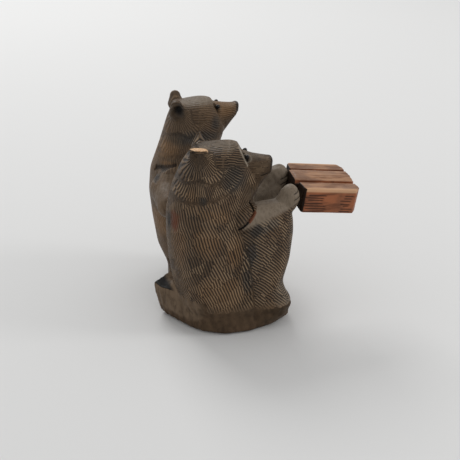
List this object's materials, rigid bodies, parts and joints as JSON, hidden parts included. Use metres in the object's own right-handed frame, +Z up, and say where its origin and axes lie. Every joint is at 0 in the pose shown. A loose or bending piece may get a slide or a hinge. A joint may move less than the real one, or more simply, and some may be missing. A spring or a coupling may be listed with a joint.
{
  "type": "carved bear figurine",
  "caption": "Carved, dark-stained wooden figurine: bears seated side by side on a common plinth, one holding an open book out in its paws",
  "frame": {"origin": "bottom centre of the whole figurine's bounding box, on the surface that it stands on", "axes": "+X the way both bears face and the longer book reaches out, +Y to the bears' left, from the first bear to the second, +Z up"},
  "size_m": [0.0974, 0.0916, 0.1035],
  "materials": {
    "carved_fur_wood": "dark stained softwood with gouged fur, ridges worn paler",
    "stained_wood": "dark stained softwood, knife cut, nearly smooth",
    "red_wood": "reddish orange wood with cut page lines, thinly waxed",
    "eye_bead": "glossy black bead",
    "raw_wood": "plain turned softwood"
  },
  "bodies": {
    "root": {"plinth": "stained_wood", "near_bear": "carved_fur_wood", "far_bear": "carved_fur_wood", "open_book": "red_wood", "near_bear_right_eye": "eye_bead", "near_bear_left_eye": "eye_bead", "far_bear_right_eye": "eye_bead", "far_bear_left_eye": "eye_bead", "near_bear_dowels": "raw_wood", "far_bear_dowels": "raw_wood", "book_pins": "raw_wood"}
  },
  "joints": []
}
